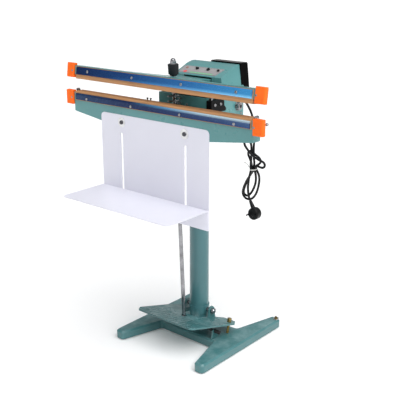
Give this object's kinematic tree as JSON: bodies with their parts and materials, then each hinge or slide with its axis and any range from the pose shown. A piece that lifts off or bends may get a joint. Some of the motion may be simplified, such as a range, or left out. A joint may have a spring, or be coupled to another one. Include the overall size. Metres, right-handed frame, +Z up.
{
  "type": "impulse heat sealer",
  "caption": "Foot-operated impulse heat sealer on a pedestal: long sealing jaws, pedal with pull rod, timer console, adjustable shelf.",
  "frame": {"origin": "on the floor, at the centre of the machine's bounding box seen from above (mains cord left out)", "axes": "+Z up; +Y to the rear; +X to the operator's right; the column's axis stands at x 0, y 0.077"},
  "size_m": [0.734, 0.554, 0.8883],
  "materials": {
    "teal_paint": "hammered stove enamel, satin",
    "rubber": "moulded, matt",
    "brass": "yellow passivated",
    "zinc_steel": "bright zinc plated",
    "spring_steel": "oiled spring steel",
    "jaw_steel": "bare bar",
    "glass_tape": "woven glass tape",
    "nichrome": "flat nichrome band",
    "ptfe_cloth": "PTFE coated glass cloth, satin",
    "aluminium": "brushed, lightly polished",
    "orange_plastic": "moulded, satin",
    "transformer_iron": "varnished laminations",
    "panel_grey": "printed overlay",
    "lamp_lens": "clear lens",
    "black_plastic": "moulded",
    "board_green": "circuit board",
    "black_paint": "black enamel, satin",
    "white_paint": "white powder coat",
    "chrome": "bright chrome",
    "pad_rubber": "silicone strip",
    "cord_pvc": "black PVC",
    "tie_white": "coated wire tie"
  },
  "bodies": {
    "root": {"base_frame": "teal_paint", "rubber_feet": "rubber", "earth_stud": "brass", "column": "teal_paint", "pedal_pivot_bolt": "zinc_steel", "column_flange": "teal_paint", "head_bolts": "zinc_steel", "pedal_stop_brackets": "teal_paint", "pedal_stop_bar": "rubber", "lower_beam": "teal_paint", "lower_jaw_bar": "jaw_steel", "lower_insulation": "glass_tape", "heating_element": "nichrome", "lower_ptfe_cloth": "ptfe_cloth", "lower_clamp_strip": "aluminium", "lower_jaw_screws": "zinc_steel", "lower_cap_left": "orange_plastic", "lower_cap_right": "orange_plastic", "element_tensioners": "zinc_steel", "feed_terminals": "zinc_steel", "head_gusset": "teal_paint", "return_spring": "spring_steel", "head_body": "teal_paint", "head_screws": "zinc_steel", "transformer": "transformer_iron", "hinge_axle": "zinc_steel", "hood": "teal_paint", "control_panel": "panel_grey", "pilot_lamp": "lamp_lens", "fuse_holder": "black_plastic", "control_board": "board_green", "rear_cover": "black_paint", "micro_switch": "black_plastic", "shelf_back_plate": "white_paint", "shelf_screws": "zinc_steel", "cord_gland": "cord_pvc", "cord": "cord_pvc", "cord_hank": "cord_pvc", "cord_tie": "tie_white", "plug": "cord_pvc"},
    "pedal": {"pedal": "teal_paint", "pedal_adjusting_bolt": "brass"},
    "upper_arm": {"upper_arm": "teal_paint", "arm_bolts": "zinc_steel", "upper_jaw_channel": "teal_paint", "upper_jaw_bar": "jaw_steel", "upper_pressure_pad": "pad_rubber", "upper_ptfe_cloth": "ptfe_cloth", "upper_clamp_strip": "aluminium", "upper_jaw_screws": "zinc_steel", "upper_cap_left": "orange_plastic", "upper_cap_right": "orange_plastic"},
    "pull_rod": {"pull_rod": "chrome", "rod_nuts": "chrome"},
    "pressure_knob": {"knob_body": "black_plastic"},
    "shelf": {"shelf_tray": "white_paint", "shelf_clamps": "zinc_steel"},
    "timer_knob_left": {"timer_knob_left": "black_plastic"},
    "timer_knob_right": {"timer_knob_right": "black_plastic"},
    "switch_lever": {"micro_switch_lever": "zinc_steel"}
  },
  "joints": [
    {"name": "arm_hinge", "type": "hinge", "parent": "root", "child": "upper_arm", "pos_m": [0, 0.143, 0.74], "axis": [1, 0, 0], "range_deg": [0, 8.2], "stiffness_Nm_per_rad": 30, "springref_deg": -42.97, "deforming": ["return_spring"]},
    {"name": "pedal_hinge", "type": "hinge", "parent": "root", "child": "pedal", "pos_m": [0, 0.077, 0.093], "axis": [1, 0, 0], "range_deg": [0, 20.3]},
    {"name": "rod_pivot", "type": "hinge", "parent": "upper_arm", "child": "pull_rod", "pos_m": [0, -0.034, 0.8393], "axis": [1, 0, 0], "range_deg": [-6.9, 0]},
    {"name": "pressure_knob_spin", "type": "hinge", "parent": "pull_rod", "child": "pressure_knob", "pos_m": [0, -0.034, 0.8393], "axis": [0, -0.049, 0.9988], "continuous": true},
    {"name": "shelf_slide", "type": "slide", "parent": "root", "child": "shelf", "axis": [0, 0, 1], "range_m": [0, 0.15]},
    {"name": "timer_left_turn", "type": "hinge", "parent": "root", "child": "timer_knob_left", "pos_m": [-0.024, 0.09794, 0.84216], "axis": [0, -0.427, 0.9042], "range_deg": [0, 270]},
    {"name": "timer_right_turn", "type": "hinge", "parent": "root", "child": "timer_knob_right", "pos_m": [0.017, 0.09794, 0.84216], "axis": [0, -0.427, 0.9042], "range_deg": [0, 270]},
    {"name": "switch_lever_press", "type": "hinge", "parent": "root", "child": "switch_lever", "pos_m": [0.101, 0.007, 0.7775], "axis": [1, 0, 0], "range_deg": [-4.2, 0], "stiffness_Nm_per_rad": 0.2, "springref_deg": 17.19}
  ],
  "couplings": [
    {"joint": "pedal_hinge", "follows": "arm_hinge", "ratio": 2.4605},
    {"joint": "rod_pivot", "follows": "arm_hinge", "ratio": -0.8184},
    {"joint": "switch_lever_press", "follows": "arm_hinge", "ratio": -0.4878}
  ]
}
